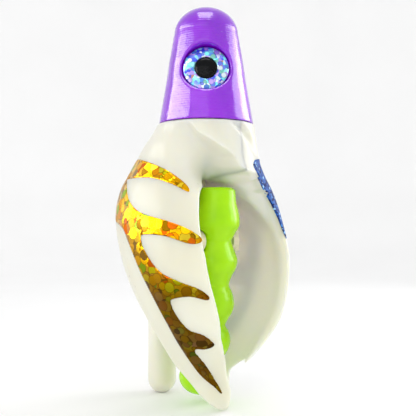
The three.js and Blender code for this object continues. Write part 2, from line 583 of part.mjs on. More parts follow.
for (const [side, turn] of EYES) {
  const seat = EYE_SEAT + GAP;
  addPiece(`${side}_eye_disc`, toEye(turned([
    [0, seat], [10, seat], [10, seat + 1], [9.2, seat + 1.7], [5.1, seat + 2.1], [5.1, seat + 0.6],
    [0, seat + 0.6],
  ], 28), turn), MATERIALS.eyeFoil);
  addPiece(`${side}_eye_pupil`, toEye(turned([
    [0, seat + 0.9], [4.8, seat + 0.9], [4.8, seat + 2.1], [3.6, seat + 2.7], [0, seat + 3],
  ], 20), turn), MATERIALS.black);
}

// The origin is the middle of the box's underside.
const bounds = new THREE.Box3().setFromObject(model);
const middle = bounds.getCenter(new THREE.Vector3());
model.position.set(-middle.x, -middle.y, -bounds.min.z);
model.updateMatrixWorld(true);

export default model;
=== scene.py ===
import json
import math

import bmesh
import bpy
import numpy as np
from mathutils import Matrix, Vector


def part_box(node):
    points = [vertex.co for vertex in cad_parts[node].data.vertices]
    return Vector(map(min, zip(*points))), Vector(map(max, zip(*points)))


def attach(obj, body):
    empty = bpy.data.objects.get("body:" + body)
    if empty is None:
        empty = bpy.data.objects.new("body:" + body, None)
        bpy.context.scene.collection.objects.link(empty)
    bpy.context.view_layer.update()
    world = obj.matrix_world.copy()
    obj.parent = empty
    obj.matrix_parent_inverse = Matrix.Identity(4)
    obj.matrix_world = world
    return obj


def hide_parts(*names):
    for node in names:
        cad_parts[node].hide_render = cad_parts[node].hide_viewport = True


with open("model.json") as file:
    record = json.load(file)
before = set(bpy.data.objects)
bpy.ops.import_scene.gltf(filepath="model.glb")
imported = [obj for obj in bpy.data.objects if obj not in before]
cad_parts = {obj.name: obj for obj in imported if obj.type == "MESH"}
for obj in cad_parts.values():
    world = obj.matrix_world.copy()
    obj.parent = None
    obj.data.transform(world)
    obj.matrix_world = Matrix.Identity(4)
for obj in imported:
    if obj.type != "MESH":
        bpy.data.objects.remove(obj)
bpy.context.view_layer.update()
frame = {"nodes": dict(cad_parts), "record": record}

import openvdb
from mathutils import Matrix, Vector

MM = 0.001

# Every length is in millimetres, measured from the head's axis and the table, as in the CAD source.
PIVOT = (-4.2, 74.0)             # y, z of the grip's hinge
pin_low, pin_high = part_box("grip_pivot_pin")
AXIS_Y = (pin_low.y + pin_high.y) / 2 / MM - PIVOT[0]      # head axis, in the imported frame
NECK_TOP = 126.6
HEAD_BASE = 127.0
WALL = 4.0
GAP = 0.3
SEAM = 0.02                      # half the line between the two body halves
CAVITY_TOP = 101.0
EDGE_ROUND = 2.4                 # rounding of the wings' free edges
LIP_ROUND = 11.0                 # more of it, on the lip above the grip
REAR_SILL = 33.0                 # lower end of the rear opening
TAIL_TOP = 54.0                  # upper end of the cut below the rear opening
NECK_BORE = 9.6
PLUG_FOOT = 108.8
CHANNEL_HALF = (4.0, 2.2, 12.0)  # half sizes of the slot for the frame's strut
CHANNEL_PLACE = (5.8, 99.0)      # y, z of its middle
SHELL_SCREWS = [(14, 86), (13, 62)]
BOSS_R = 3.6
BOSS_INNER = 14.8                # inner end of the screw bosses
SCREW_BORE = 1.4
SCREW_BORE_DEPTH = 24.0
HUB = (27.0, 88.0)               # y, z of the roll's axle
ROLL_SPACE_R = 20.4
ROLL_SPACE_SIDE = 1.3
TAPE_HALF = 9.5
INLAY_SUNK = 0.35                # depth of the middle of the inlays' layer below the wing's surface
INLAY_HALF = 0.6                 # half its thickness, so that its face stands a little proud
INLAY_PROUD = 0.3                # how far it may stand proud where the wing is rounded
LEG_Y = 30.5
LEG_R = 6.8
LEG_TOP = 43.7
LEG_FLAT = math.radians(20)      # angle at which the leg's round end turns into its flat foot
DOME_CENTRE = 168.0
DOME_SQUASH = 1.162
HEAD_WALL = 2.6
HEAD_CEILING = 172.0
HEAD_BORE = 8.2
EYE_HEIGHT = 147.7
EYE_TILT = math.radians(9.3)
EYE_POCKET_R = 10.6
EYE_SEAT = 12.3
EYES = {"left": 225, "right": 45}
GRIP_FOOT = 3.5
GRIP_TOP = 98.0
GRIP_BORE = 1.65
SHARP = math.radians(35)         # edges sharper than this stay crisp
CAMERA_AZIMUTH = math.radians(-45)
CAMERA_DISTANCE = 300.0
CAMERA_HEIGHT = 83.0

# Height, radius, and how far the section's centre lies towards the rear.
SECTIONS = [
    (0, 14.5, -1), (5, 16, -0.8), (15, 18.5, -0.6), (26, 23, -3.3), (38, 29.8, -4.5), (45, 32.7, -4.2),
    (56, 36.3, -2.1), (67, 38.4, 0.2), (78, 38.8, 3), (88, 37.8, 4.8), (97, 35.2, 5.7), (104, 31.6, 5.8),
    (110, 28.6, 5.4), (117, 26, 3.6), (122, 23.8, 1.6), (127, 22.2, 0),
]
# Height, and half width of the front and rear openings.
OPENING = [
    (-2, 0.8), (8.9, 0.9), (16.9, 5.1), (31, 13.9), (36.6, 17.3), (49.5, 22), (59.3, 24.8), (68.9, 26),
    (80.9, 24.8), (92, 21.4), (95.5, 19.5), (98, 16), (100, 11), (102, 3), (104, -8), (108, -34),
]
# Main fold round the neck: height, angle, left and right half width, depth.
FOLD = [
    (84, 0, 37, 37, 32), (90, 0, 38, 38, 32), (94, -1.5, 42, 41, 31), (96.7, -4, 48, 45, 29),
    (100, -14, 46, 36, 25), (105.5, -28, 44, 25, 17), (111.3, -34, 42, 23, 10.5), (117, -46, 38, 15, 6),
    (121, -59, 32, 10, 3.2), (125, -68, 28, 7, 1), (127, -74, 24, 6, 0),
]
# Two shallow folds in front of the nape, in the same form.
NECK_CREASES = [
    [(109, 28, 8, 12, 0), (113, 22, 8, 14, 0.8), (117, 15, 9, 15, 1.3), (121, 6, 10, 16, 1.4),
     (125, -10, 9, 16, 0.9), (127, -15, 9, 16, 0.4)],
    [(114, -18, 6, 6, 0), (118, -24, 12, 10, 0.7), (123, -32, 14, 12, 0.8), (127, -38, 14, 12, 0.2)],
]
# How far the rims roll inwards: height, depth to the right and to the left of an opening's middle.
RIM_ROLL = [
    (68, 0, 0), (78, 2, 1.6), (88, 5.5, 3.6), (97, 7, 4.6), (101, 5, 3.6), (106, 1.4, 0.8), (111, 0, 0),
]
RIM_ROLL_ENDS = ((28, 53), (40, 74))     # right and left: where the roll is full, and where it has gone
# Inner edge of the right inlay where it wraps round to the front: height, distance across.
INLAY_WRAP = [(70, 39), (74, 37.3), (87, 30.4), (99.4, 24.9), (107, 20.8), (110, 21.6), (112, 25)]
# Height, rear limit of the left wing and of the right wing.
REAR_EDGE = [
    (-2, -15.2, -4), (0, -13.8, -3), (3, -12, -1), (8, -8.9, 3), (14, -5.3, 7), (26, 3.4, 12),
    (38, 8.5, 16.5), (45, 14, 20.5), (52, 24, 28),
]
# Outer limit of the right wing's toe, across the diagonal.
TOE_CHAMFER = [
    (-2, 10.6), (5, 10.9), (12, 11.3), (14, 12.4), (17.6, 16), (22.7, 21.4), (28, 26.5), (35, 34),
    (41, 46), (50, 70),
]
# Height, and wall left between the outer surface and the cavity.
CAVITY_WALL = [
    (0, 5.5), (8, 4.4), (20, WALL), (64, WALL), (76, 5.5), (84, 8.5), (91, 13), (97, 20), (101, 28),
]
# Height, and how far the inner walls lean in behind the rims.
INNER_LEAN = [(74, 0), (84, 3), (90, 6), (97, 9), (101, 9)]
# Height and radius of the grip; its two end rows close it.
GRIP = [
    (3.5, 0), (3.6, 2.5), (5.5, 6.6), (9, 9.6), (13, 10.4), (16.5, 9.2), (18.5, 8.2), (21, 8.8), (25, 10.4),
    (29, 10.8), (33, 9.6), (35.5, 8), (38, 8.8), (42, 10.9), (46, 11.4), (50.5, 10.2), (54, 8.6),
    (57.5, 9.4), (61.5, 11.2), (65.5, 11.6), (70.5, 9.6), (74, 8.4), (77, 9.6), (81, 11.5), (86, 10.9),
    (91, 9.3), (94.5, 8.7), (96.6, 8.3), (97.6, 7.6), (98, 6.6), (98.01, 0),
]
# Height, and how far the grip's middle line lies towards the rear.
GRIP_LEAN = [(3, 3.4), (13, 2.7), (29, -0.4), (46, -1.9), (65, -3.6), (81, -5.1), (98, -7)]
# Height and radius of the head.
HEAD_OUTER = [
    (HEAD_BASE, 21.5), (128.4, 21.4), (138.3, 19.7), (146.6, 18.3), (154.8, 17.1), (163, 15.7),
    (168.5, 14.7), (171.4, 13.9), (174.4, 12.3), (177.2, 9.8), (179.4, 6.2), (180.5, 3), (180.8, 0),
]
# Outline of the comb-shaped inlay, seen square to its wing: sideways, height.
COMB = [
    (-46, 116), (-33.5, 111.6), (-28.9, 110.8), (-18.8, 106.9), (-10.5, 101.2), (-7.6, 97.6), (-8.6, 96.3),
    (-15.6, 99.8), (-25.6, 102.8), (-35, 102.2), (-36.3, 100.6), (-35.2, 92.5), (-29.8, 86.8),
    (-18.8, 83.4), (-8.7, 79.7), (-2, 75.2), (-3, 72.8), (-8.2, 72.6), (-18.8, 76), (-27.5, 76.7),
    (-29.8, 75.4), (-27.5, 68.7), (-21.1, 60), (-11.9, 55.2), (-3.7, 52.2), (1.4, 48.6), (0.4, 46.7),
    (-7.3, 48.3), (-14.6, 47.3), (-16, 45.6), (-13.3, 39.8), (-7.8, 33.4), (-1.4, 31.1), (3.6, 27.3),
    (3, 25.4), (-0.5, 24.3), (-5, 23.8), (0.5, 16.5), (7.1, 5.6), (6.6, 4.4), (3.7, 7.3), (-3.2, 13.3),
    (-11.9, 25.6), (-17.9, 36.2), (-24, 47.6), (-30.2, 60), (-36, 74.2), (-38.3, 79.7), (-46, 90),
]


# ---- smooth tables and implicit shapes ----
def curve(table, z, column=1):
    """Smooth curve through a table's rows, for an array of heights; the same curve as the CAD source's."""
    rows = np.array(table, float)
    heights, values = rows[:, 0], rows[:, column]
    slopes = np.empty_like(values)
    slopes[1:-1] = (values[2:] - values[:-2]) / (heights[2:] - heights[:-2])
    slopes[0] = (values[1] - values[0]) / (heights[1] - heights[0])
    slopes[-1] = (values[-1] - values[-2]) / (heights[-1] - heights[-2])
    z = np.clip(z, heights[0], heights[-1])
    i = np.clip(np.searchsorted(heights, z, side="right") - 1, 0, len(heights) - 2)
    span = heights[i + 1] - heights[i]
    t = (z - heights[i]) / span
    h = t * t * (3 - 2 * t)
    bend = slopes[i] * t * (1 - t) ** 2 - slopes[i + 1] * t * t * (1 - t)
    return values[i] * (1 - h) + values[i + 1] * h + span * bend


def smooth_max(a, b, k):
    """The larger of two fields, rounded over a width k where they cross."""
    h = np.clip(0.5 + 0.5 * (a - b) / k, 0, 1)
    return b * (1 - h) + a * h + k * h * (1 - h)


def smooth_min(a, b, k):
    return -smooth_max(-a, -b, k)


def polar(p):
    """Angle in degrees (0 at the front, + towards +X) and radius about the body's section centre."""
    x = p[..., 0]
    y = p[..., 1] - curve(SECTIONS, p[..., 2], 2)
    return np.degrees(np.arctan2(x, -y)), np.hypot(x, y)


def wrapped(angle):
    """The same angle between -180 and 180 degrees."""
    return (angle + 180) % 360 - 180


def across_fold(fold, angle, z, turn):
    """Signed angle from a fold's middle, and the share of its half width that this is, up to 1."""
    off = wrapped(angle - curve(fold, z, 1) - turn)
    half_width = np.where(off < 0, curve(fold, z, 2), curve(fold, z, 3))
    return off, np.minimum(np.abs(off) / half_width, 1)


def fold_depth(angle, z):
    """Depth of the folds that wind down the neck into the front and rear openings."""
    steep = np.clip(6 - 0.3 * (z - 98), 2.5, 6)      # the main fold's right bank, steeper lower down
    depth = 0
    for turn in (0, 180):
        off, share = across_fold(FOLD, angle, z, turn)
        bank = np.where(off < 0, np.cos(share * np.pi / 2) ** 2, 1 - share ** steep)
        depth = depth + curve(FOLD, z, 4) * bank
        for crease in NECK_CREASES:
            off, share = across_fold(crease, angle, z, turn)
            depth = depth + curve(crease, z, 4) * np.cos(share * np.pi / 2) ** 2
    return np.where(z < FOLD[0][0], 0, depth)


def ramp(t):
    """Smooth step from 0 to 1 as t goes from 0 to 1."""
    t = np.clip(t, 0, 1)
    return t * t * (3 - 2 * t)


def rim_roll(angle, z):
    """How far the rims beside each opening roll inwards."""
    right = np.mod(angle, 180)
    roll = 0
    for column, off in ((1, right), (2, 180 - right)):
        full, gone = RIM_ROLL_ENDS[column - 1]
        roll = roll + curve(RIM_ROLL, z, column) * ramp((gone - off) / (gone - full)) * ramp(off / 14 - 1)
    return roll


def wing_surface(p):
    """Distance outside the wings' outer surface."""
    angle, r = polar(p)
    z = p[..., 2]
    return r - curve(SECTIONS, z) + fold_depth(angle, z) + rim_roll(angle, z)


def opening_fields(p):
    """The front opening, the rear opening, and the cut that leaves the wings' rear edges below it."""
    x, y, z = p[..., 0], p[..., 1], p[..., 2]
    half_width = curve(OPENING, z)
    lean = curve(INNER_LEAN, z) * np.clip((y + 17) / 15, 0, 1)
    front = smooth_max((np.abs(x) - half_width + lean) * 0.8, y + 2, 1)
    rear = smooth_max(smooth_max((np.abs(x) - half_width) * 0.9, 2 - y, 1), REAR_SILL - z, 2)
    blend = np.clip(x / 2 + 0.5, 0, 1)
    limit = curve(REAR_EDGE, z) * (1 - blend) + curve(REAR_EDGE, z, 2) * blend
    tail = smooth_max((limit - y) * 0.85, z - TAIL_TOP, 2)
    return front, rear, tail


def neck_bore_field(p):
    """The bore for the neck plug and the slot for the strut below it."""
    x, y, z = p[..., 0], p[..., 1], p[..., 2]
    bore = np.maximum(np.hypot(x, y) - NECK_BORE, PLUG_FOOT - GAP - z)
    wide = np.abs(x) - CHANNEL_HALF[0]
    deep = np.abs(y - CHANNEL_PLACE[0]) - CHANNEL_HALF[1]
    tall = np.abs(z - CHANNEL_PLACE[1]) - CHANNEL_HALF[2]
    return np.minimum(bore, np.maximum(np.maximum(wide, deep), tall))


def roll_space_field(p):
    """Round space for the roll, open towards the rear."""
    x, y, z = p[..., 0], p[..., 1], p[..., 2]
    drum = np.hypot(y - HUB[0], z - HUB[1]) - ROLL_SPACE_R
    way_in = np.maximum(np.maximum(HUB[0] - y, HUB[1] - z), z - HUB[1] - ROLL_SPACE_R)
    return np.maximum(np.minimum(drum, way_in), np.abs(x) - TAPE_HALF - ROLL_SPACE_SIDE)


def body_field(p):
    """The hollow body with all its openings, before it is cut in two."""
    x, z = p[..., 0], p[..., 2]
    angle, r = polar(p)
    outside = wing_surface(p)
    wall = smooth_max(curve(CAVITY_WALL, z), WALL + rim_roll(angle, z), 1)
    cavity = r - curve(SECTIONS, z) + wall
    cavity = smooth_max(cavity, z - CAVITY_TOP, 3)
    front, rear, tail = opening_fields(p)
    on_lip = ramp((z - 85) / 9) * ramp((112 - z) / 8) * ramp((x + 14) / 8) * ramp((19 - x) / 8)
    f = smooth_max(outside, -cavity, 2.6)
    f = smooth_max(f, -front, EDGE_ROUND + LIP_ROUND * on_lip)
    f = smooth_max(f, -rear, EDGE_ROUND)
    f = smooth_max(f, -tail, EDGE_ROUND)
    f = smooth_max(f, -z, 1.6)
    f = smooth_max(f, z - NECK_TOP, 0.5)
    f = np.maximum(f, -neck_bore_field(p))
    return smooth_max(f, -roll_space_field(p), 0.8)


def shells_field(p):
    """Both body halves as one shape, with the screw bosses and the chamfer on the right wing's toe."""
    x, y, z = p[..., 0], p[..., 1], p[..., 2]
    across = (x - y) * math.sqrt(0.5)
    chamfer = np.minimum(across - curve(TOE_CHAMFER, z), x - 2) * 0.7
    f = smooth_max(body_field(p), chamfer, 2)
    inside = wing_surface(p) + 2
    for screw_y, screw_z in SHELL_SCREWS:
        spot = np.hypot(y - screw_y, z - screw_z)
        boss = np.maximum(np.maximum(spot - BOSS_R, BOSS_INNER - np.abs(x)), inside)
        f = smooth_min(f, boss, 1.2)
        f = np.maximum(f, -np.maximum(spot - SCREW_BORE, np.abs(x) - SCREW_BORE_DEPTH))
    return f


def mark_inside_for_painted_light(shells):
    """Stores how far each vertex lies inside the wings' outer surface, for the painted light that the ivory
    paint puts on the inner faces.
    """
    points = np.array([vertex.co for vertex in shells.data.vertices]) / MM - np.array([0, AXIS_Y, 0])
    share = np.clip((-wing_surface(points) - 1.2) / 2.5, 0, 1)
    layer = shells.data.attributes.new("inside", "FLOAT", "POINT")
    layer.data.foreach_set("value", share.astype(np.float32))


def split_at_seam(whole, side, name):
    """The half of a mesh on one side of the seam plane, closed and with a crisp seam edge."""
    half = bpy.data.objects.new(name, whole.data.copy())
    bpy.context.scene.collection.objects.link(half)
    bm = bmesh.new()
    bm.from_mesh(half.data)
    cut = bmesh.ops.bisect_plane(
        bm, geom=bm.verts[:] + bm.edges[:] + bm.faces[:], dist=1e-7,
        plane_co=(side * SEAM * MM, 0, 0), plane_no=(-side, 0, 0), clear_outer=True,
    )
    rim = [item for item in cut["geom_cut"] if isinstance(item, bmesh.types.BMEdge)]
    bmesh.ops.triangle_fill(bm, edges=rim, use_dissolve=True)
    for edge in rim:
        if edge.is_valid:
            edge.smooth = False
    bmesh.ops.recalc_face_normals(bm, faces=bm.faces)
    bm.to_mesh(half.data)
    bm.free()
    return half


def eye_matrix(turn):
    """Frame of an eye: its own Z points out of the head."""
    return (
        Matrix.Translation((0, 0, EYE_HEIGHT))
        @ Matrix.Rotation(math.radians(turn), 4, "Z")
        @ Matrix.Rotation(math.pi / 2 - EYE_TILT, 4, "Y")
    )


def head_field(p):
    """The hollow head: a cone with a domed top, two eye pockets with solid seats, a bore from below."""
    r = np.hypot(p[..., 0], p[..., 1])
    z = p[..., 2]
    side = curve(HEAD_OUTER[:7], z)
    cone = (r - curve(HEAD_OUTER[:9], z)) * 0.98
    dome = np.hypot(r, np.maximum(z - DOME_CENTRE, 0) * DOME_SQUASH) - side
    f = np.where(z > DOME_CENTRE, dome, cone)
    f = smooth_max(f, HEAD_BASE - z, 0.4)
    hollow = np.maximum(r - (side - HEAD_WALL), z - HEAD_CEILING)
    seats = np.full_like(r, 99.0)
    pockets = np.full_like(r, 99.0)
    for turn in EYES.values():
        inverse = np.array(eye_matrix(turn).inverted())
        q = p @ inverse[:3, :3].T + inverse[:3, 3]
        across = np.hypot(q[..., 0], q[..., 1])
        seats = np.minimum(seats, np.maximum(across - EYE_POCKET_R - 2, 9 - q[..., 2]))
        pockets = np.minimum(pockets, np.maximum(across - EYE_POCKET_R, EYE_SEAT - q[..., 2]))
    f = np.maximum(f, -np.maximum(hollow, -seats))
    f = smooth_max(f, -pockets, 1.6)
    return np.maximum(f, np.minimum(HEAD_BORE - r, HEAD_CEILING - z))


def grip_field(p):
    """The lobed grip with its hinge bore, and flats and recesses beside the hinge."""
    x, y, z = p[..., 0], p[..., 1], p[..., 2]
    r = np.hypot(x, y - curve(GRIP_LEAN, z))
    side = (r - curve(GRIP[1:-2], z)) * 0.9
    ends = np.maximum(z - GRIP_TOP, GRIP_FOOT - z)
    f = smooth_max(side, ends, 1.5)
    hinge = np.hypot(y - PIVOT[0], z - PIVOT[1])
    recess = np.maximum(hinge - 5.6, 8.4 - np.abs(x))
    flats = np.maximum(11.7 - np.abs(x), np.abs(z - 72) - 12)
    f = smooth_max(f, -recess, 0.6)
    f = smooth_max(f, -flats, 0.6)
    return np.maximum(f, GRIP_BORE - hinge)


# ---- comb outline as a distance map ----
def comb_distance():
    """Signed distance to the rounded comb outline, on a fine grid in its own plane."""
    points = np.array(COMB)
    smooth = []
    count = len(points)
    for k in range(count):
        a, b, c, d = (points[(k + j) % count] for j in (-1, 0, 1, 2))
        for t in np.linspace(0, 1, 5, endpoint=False):
            smooth.append(
                0.5 * (2 * b + (c - a) * t + (2 * a - 5 * b + 4 * c - d) * t * t
                       + (3 * b - a - 3 * c + d) * t ** 3)
            )
    line = np.array(smooth)
    step = 0.4
    left_end = -48
    u = np.arange(left_end, 12, step)
    v = np.arange(0, 120, step)
    uu, vv = np.meshgrid(u, v, indexing="ij")
    best = np.full(uu.shape, 1e9)
    inside = np.zeros(uu.shape, bool)
    for (x0, y0), (x1, y1) in zip(line, np.roll(line, -1, axis=0)):
        dx, dy = x1 - x0, y1 - y0
        t = np.clip(((uu - x0) * dx + (vv - y0) * dy) / (dx * dx + dy * dy + 1e-12), 0, 1)
        best = np.minimum(best, (uu - x0 - t * dx) ** 2 + (vv - y0 - t * dy) ** 2)
        crossing = (y0 > vv) != (y1 > vv)
        where = x0 + (vv - y0) * dx / (dy if abs(dy) > 1e-9 else 1e-9)
        inside ^= crossing & (uu < where)
    distance = np.sqrt(best) * np.where(inside, -1, 1)

    def sample(a, b):
        i = np.clip((a - left_end) / step, 0, len(u) - 1.001)
        j = np.clip(b / step, 0, len(v) - 1.001)
        i0, j0 = i.astype(int), j.astype(int)
        fi, fj = i - i0, j - j0
        low = distance[i0, j0] * (1 - fi) + distance[i0 + 1, j0] * fi
        high = distance[i0, j0 + 1] * (1 - fi) + distance[i0 + 1, j0 + 1] * fi
        return low * (1 - fj) + high * fj
    return sample


def inlay_field(side, comb):
    """Field of one inlay; the right one is the left comb turned half a turn, with a wrap to the front."""
    def field(p):
        x, y, z = p[..., 0], p[..., 1], p[..., 2]
        if side > 0:
            x, y = -x, 2 * curve(SECTIONS, z, 2) - y
        across = (x - y) * math.sqrt(0.5)
        near = -(x + y) * math.sqrt(0.5)
        scale = (CAMERA_DISTANCE - near) / CAMERA_DISTANCE
        outline = comb(across / scale, CAMERA_HEIGHT + (z - CAMERA_HEIGHT) / scale)
        outline = smooth_max(outline, 0.3 - near, 5)
        if side > 0:
            seen = -across - math.sqrt(2) * curve(SECTIONS, z, 2)
            wrap = smooth_max(curve(INLAY_WRAP, z) - seen, 72 + 2 * np.maximum(near + 2, 0) - z, 2)
            wrap = smooth_max(wrap, z - 112, 2)
            outline = smooth_min(outline, np.maximum(wrap, near - 3), 1)
        layer = np.abs(wing_surface(p) + INLAY_SUNK) - INLAY_HALF
        f = smooth_max(layer, outline, 0.4)
        return smooth_max(f, body_field(p) - INLAY_PROUD, 0.3)
    return field


# ---- meshes ----
def grid_axes(low, high, step):
    """Evenly spaced places along each axis from a low corner past a high one."""
    return [a + step * np.arange(math.ceil((b - a) / step) + 1) for a, b in zip(low, high)]


def implicit_mesh(name, field, low, high, step, polish=2):
    """Meshes the surface where a field is zero, then moves each vertex onto it exactly."""
    ax, ay, az = grid_axes(low, high, step)
    nudge_length = 0.02
    band = 4 * step
    values = np.empty((len(ax), len(ay), len(az)), np.float32)
    for i, x in enumerate(ax):
        p = np.empty((len(ay), len(az), 3))
        p[..., 0] = x
        p[..., 1] = ay[:, None]
        p[..., 2] = az[None, :]
        values[i] = np.clip(field(p), -band, band)
    grid = openvdb.FloatGrid(band)
    grid.copyFromArray(values)
    points, quads = grid.convertToQuads(0.0)
    points = np.array(points, float) * step + np.array(low)
    for _ in range(polish):
        f = field(points)
        gradient = np.empty_like(points)
        for axis in range(3):
            nudge = np.zeros(3)
            nudge[axis] = nudge_length
            gradient[:, axis] = (field(points + nudge) - field(points - nudge)) / (2 * nudge_length)
        size = np.maximum((gradient ** 2).sum(1), 0.05)
        move = -(f / size)[:, None] * gradient
        points += np.clip(move, -step * 0.5, step * 0.5)
    faces = np.array(quads)[:, ::-1]
    return mesh_object(name, points, faces.tolist())


def mesh_object(name, points, faces):
    """A mesh from points in millimetres about the head's axis."""
    mesh = bpy.data.meshes.new(name)
    placed = (np.asarray(points, float) + np.array([0, AXIS_Y, 0])) * MM
    mesh.from_pydata(placed.tolist(), [], faces)
    mesh.update()
    bm = bmesh.new()
    bm.from_mesh(mesh)
    bmesh.ops.recalc_face_normals(bm, faces=bm.faces)
    bm.to_mesh(mesh)
    bm.free()
    mesh.polygons.foreach_set("use_smooth", [True] * len(mesh.polygons))
    obj = bpy.data.objects.new(name, mesh)
    bpy.context.scene.collection.objects.link(obj)
    return obj


def lathe(name, profile, segments=96, matrix=None):
    """Turns [radius, height] points about Z; a closed profile makes a ring."""
    profile = np.array(profile, float)
    points = []
    faces = []
    rows = len(profile)
    for k in range(segments):
        a = 2 * math.pi * k / segments
        for r, z in profile:
            points.append((r * math.cos(a), r * math.sin(a), z))
    for k in range(segments):
        for j in range(rows - 1):
            a = k * rows + j
            b = ((k + 1) % segments) * rows + j
            faces.append((a, b, b + 1, a + 1))
    if matrix is not None:
        points = [tuple(matrix @ Vector(p)) for p in points]
    obj = mesh_object(name, points, faces)
    bm = bmesh.new()
    bm.from_mesh(obj.data)
    bmesh.ops.remove_doubles(bm, verts=bm.verts, dist=1e-6)
    bmesh.ops.dissolve_degenerate(bm, dist=1e-7, edges=bm.edges)
    bmesh.ops.recalc_face_normals(bm, faces=bm.faces)
    bm.to_mesh(obj.data)
    bm.free()
    return obj


def rounded(profile, radius=0.35, steps=3):
    """Rounds the corners of an open profile of [radius, height] points."""
    out = [profile[0]]
    for before, corner, after in zip(profile, profile[1:], profile[2:]):
        b, c, a = (np.array(v, float) for v in (before, corner, after))
        cut_in = min(radius, np.linalg.norm(b - c) * 0.45)
        cut_out = min(radius, np.linalg.norm(a - c) * 0.45)
        start = c + (b - c) / max(np.linalg.norm(b - c), 1e-9) * cut_in
        end = c + (a - c) / max(np.linalg.norm(a - c), 1e-9) * cut_out
        for k in range(steps + 1):
            t = k / steps
            out.append(tuple((1 - t) ** 2 * start + 2 * t * (1 - t) * c + t * t * end))
    out.append(profile[-1])
    return out


def dressed(node, width):
    """A copy of a CAD node with bevelled edges."""
    source = frame["nodes"][node]
    copy = bpy.data.objects.new(node + "_visual", source.data.copy())
    bpy.context.scene.collection.objects.link(copy)
    copy.data.materials.clear()
    bevel = copy.modifiers.new("edge", "BEVEL")
    bevel.width = width * MM
    bevel.segments = 2
    bevel.limit_method = "ANGLE"
    bevel.angle_limit = SHARP
    copy.data.polygons.foreach_set("use_smooth", [True] * len(copy.data.polygons))
    copy.data.set_sharp_from_angle(angle=SHARP)
    return copy


# ---- materials ----
MIX_FACTOR, MIX_A, MIX_B, MIX_RESULT = 0, 6, 7, 2      # colour sockets of a mix node
MIX_FLOAT_A, MIX_FLOAT_B = 2, 3                        # and its plain number sockets


def linear(r, g, b):
    """A display colour from 0 to 255 as a linear one."""
    def one(c):
        c /= 255
        return c / 12.92 if c <= 0.04045 else ((c + 0.055) / 1.055) ** 2.4
    return (one(r), one(g), one(b), 1.0)


class Paint:
    """A material being built, with short calls for its nodes; coordinates are in millimetres."""

    def __init__(self, name, roughness=0.3, metallic=0.0):
        self.material = bpy.data.materials.new(name)
        self.material.use_nodes = True
        self.tree = self.material.node_tree
        self.shader = self.tree.nodes["Principled BSDF"]
        self.shader.inputs["Roughness"].default_value = roughness
        self.shader.inputs["Metallic"].default_value = metallic
        self.place = self.node("ShaderNodeVectorMath", operation="SCALE")
        self.place.inputs["Scale"].default_value = 1000
        self.link(self.node("ShaderNodeTexCoord").outputs["Object"], self.place.inputs[0])

    def node(self, kind, **settings):
        made = self.tree.nodes.new(kind)
        for key, value in settings.items():
            setattr(made, key, value)
        return made

    def link(self, a, b):
        self.tree.links.new(a, b)

    def math(self, operation, a, b=0.0):
        made = self.node("ShaderNodeMath", operation=operation)
        for socket, value in zip(made.inputs, (a, b)):
            if isinstance(value, (int, float)):
                socket.default_value = value
            else:
                self.link(value, socket)
        return made.outputs[0]

    def noise(self, scale, detail=3.0, stretch=(1, 1, 1)):
        made = self.node("ShaderNodeTexNoise")
        made.inputs["Scale"].default_value = scale
        made.inputs["Detail"].default_value = detail
        self.link(self.stretched(stretch), made.inputs["Vector"])
        return made.outputs["Fac"]

    def stretched(self, stretch, offset=(0, 0, 0)):
        if stretch == (1, 1, 1) and offset == (0, 0, 0):
            return self.place.outputs[0]
        made = self.node("ShaderNodeMapping")
        made.inputs["Scale"].default_value = stretch
        made.inputs["Location"].default_value = offset
        self.link(self.place.outputs[0], made.inputs["Vector"])
        return made.outputs[0]

    def cells(self, size, offset=(0, 0, 0)):
        made = self.node("ShaderNodeTexVoronoi")
        made.inputs["Scale"].default_value = 1 / size
        self.link(self.stretched((1, 1, 1), offset), made.inputs["Vector"])
        return made

    def ramp(self, fac, stops, interpolation="LINEAR"):
        made = self.node("ShaderNodeValToRGB")
        made.color_ramp.interpolation = interpolation
        elements = made.color_ramp.elements
        while len(elements) < len(stops):
            elements.new(0.5)
        for element, (position, colour) in zip(elements, stops):
            element.position = position
            element.color = colour
        self.link(fac, made.inputs["Fac"])
        return made.outputs["Color"]

    def mix(self, fac, a, b):
        made = self.node("ShaderNodeMix", data_type="RGBA")
        for socket, value in zip((MIX_FACTOR, MIX_A, MIX_B), (fac, a, b)):
            if isinstance(value, (int, float, tuple)):
                made.inputs[socket].default_value = value
            else:
                self.link(value, made.inputs[socket])
        return made.outputs[MIX_RESULT]

    def blend(self, kind, a, b):
        made = self.node("ShaderNodeMix", data_type="RGBA", blend_type=kind)
        made.inputs[MIX_FACTOR].default_value = 1.0
        self.link(a, made.inputs[MIX_A])
        self.link(b, made.inputs[MIX_B])
        return made.outputs[MIX_RESULT]

    def colour(self, value):
        self.link(value, self.shader.inputs["Base Color"])

    def bump(self, height, strength, distance):
        made = self.node("ShaderNodeBump")
        made.inputs["Strength"].default_value = strength
        made.inputs["Distance"].default_value = distance * MM
        self.link(height, made.inputs["Height"])
        self.link(made.outputs[0], self.shader.inputs["Normal"])
        return made

    def set(self, **values):
        for key, value in values.items():
            self.shader.inputs[key.replace("_", " ")].default_value = value
        return self

    def rough(self, fac, low, high):
        made = self.node("ShaderNodeMapRange")
        made.inputs["To Min"].default_value = low
        made.inputs["To Max"].default_value = high
        self.link(fac, made.inputs["Value"])
        self.link(made.outputs[0], self.shader.inputs["Roughness"])


